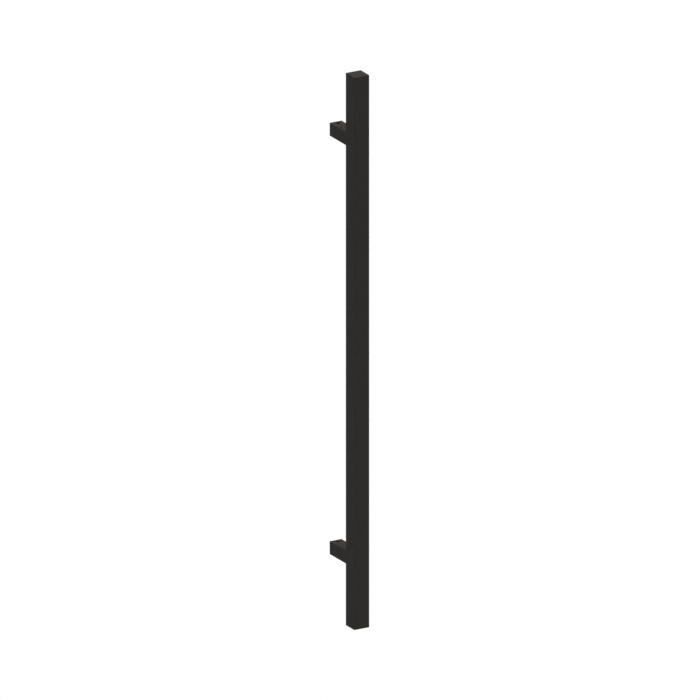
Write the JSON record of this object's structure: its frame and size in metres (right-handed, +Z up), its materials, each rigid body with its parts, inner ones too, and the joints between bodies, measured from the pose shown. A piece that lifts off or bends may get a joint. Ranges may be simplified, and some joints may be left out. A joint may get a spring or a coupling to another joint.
{
  "type": "door pull handle",
  "caption": "Long matt black square grip bar held off the door by smaller square posts, each locked to its door fixing by a recessed grub screw.",
  "frame": {"origin": "on the door's face, midway between the two fixing centres", "axes": "+Z up along the grip bar, +Y into the door, the grip bar out along -Y, +X to the right seen from the front"},
  "size_m": [0.025, 0.0765, 0.845],
  "materials": {
    "coated_steel": "matte",
    "plated_steel": "satin",
    "black_screw_steel": "satin"
  },
  "bodies": {
    "root": {"grip_bar": "coated_steel", "top_end_cap": "coated_steel", "bottom_end_cap": "coated_steel", "upper_post": "coated_steel", "lower_post": "coated_steel", "upper_spigot": "plated_steel", "upper_post_screw": "plated_steel", "upper_lock_washer": "plated_steel", "upper_nut_block": "plated_steel", "upper_locating_pin": "plated_steel", "lower_spigot": "plated_steel", "lower_post_screw": "plated_steel", "lower_lock_washer": "plated_steel", "lower_nut_block": "plated_steel", "lower_locating_pin": "plated_steel", "upper_grub_screw": "black_screw_steel", "lower_grub_screw": "black_screw_steel"}
  },
  "joints": []
}
